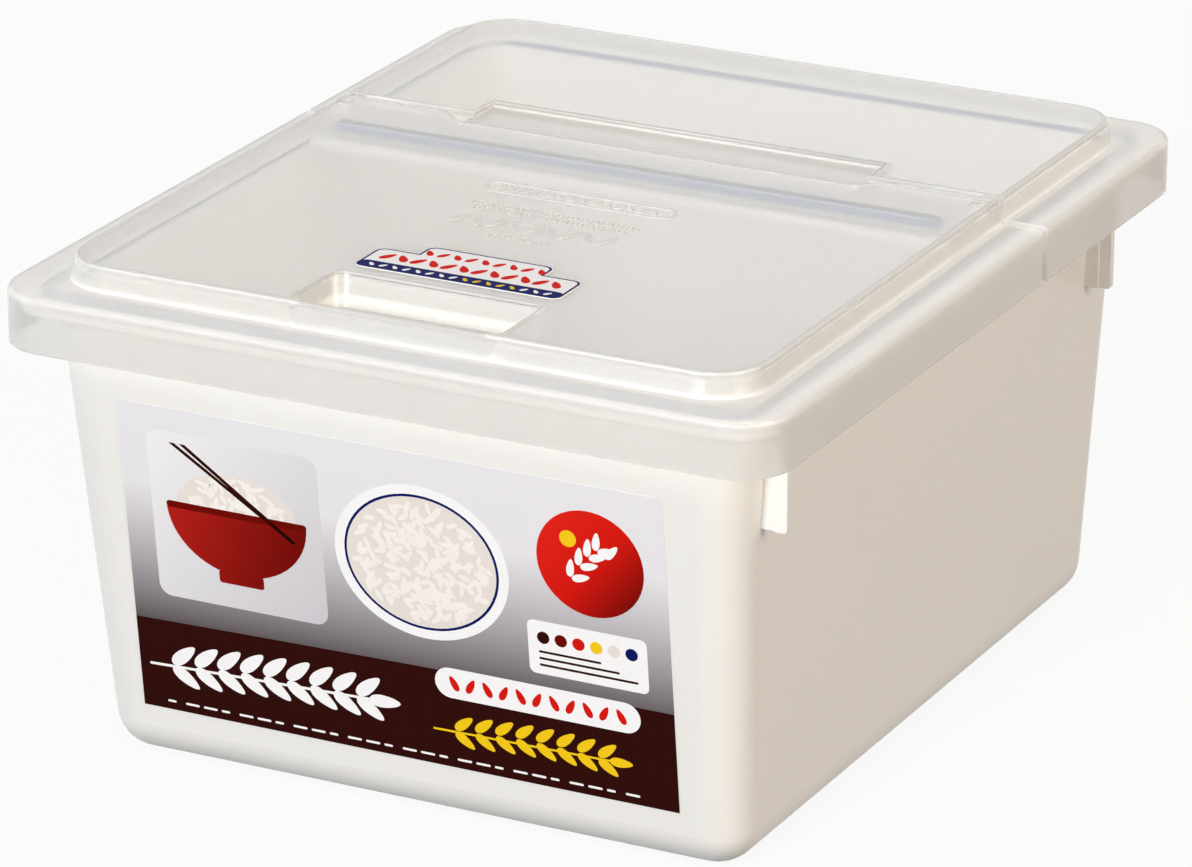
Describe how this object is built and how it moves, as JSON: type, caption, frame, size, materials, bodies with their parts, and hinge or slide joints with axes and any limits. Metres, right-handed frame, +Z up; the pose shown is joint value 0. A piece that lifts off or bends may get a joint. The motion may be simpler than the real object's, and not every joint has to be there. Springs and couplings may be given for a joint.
{
  "type": "drawer rice bin",
  "caption": "Low rectangular rice storage tub with drafted walls, translucent two-part lid hinged across the middle, soft rim packing, finger well, grip recess and measuring cup.",
  "frame": {"origin": "on the floor under the middle of the lid", "axes": "+X to the bin's right, +Y to its rear, +Z up"},
  "size_m": [0.302, 0.362, 0.1902],
  "materials": {
    "white_polypropylene": "satin moulded polypropylene, opaque warm white",
    "translucent_polypropylene": "milky translucent polypropylene",
    "packing_elastomer": "soft blue-grey elastomer",
    "cup_polystyrene": "clear to milky moulded polystyrene",
    "printed_film": "printed adhesive film"
  },
  "bodies": {
    "tub": {"container": "white_polypropylene", "rim_packing": "packing_elastomer", "front_label": "printed_film"},
    "rear_cover": {"rear_lid": "translucent_polypropylene", "bridge_packing": "packing_elastomer"},
    "front_cover": {"front_lid": "translucent_polypropylene", "lid_sticker": "printed_film"},
    "cup": {"measuring_cup": "cup_polystyrene", "cup_scale": "printed_film"}
  },
  "joints": [
    {"name": "lid_lift", "type": "slide", "parent": "tub", "child": "rear_cover", "axis": [0, 0, 1], "range_m": [0, 0.12]},
    {"name": "front_lid_hinge", "type": "hinge", "parent": "rear_cover", "child": "front_cover", "pos_m": [0, 0.0476, 0.1876], "axis": [-1, 0, 0], "range_deg": [0, 105]},
    {"name": "cup_lift", "type": "slide", "parent": "tub", "child": "cup", "axis": [0, 0, 1], "range_m": [0, 0.1]}
  ]
}
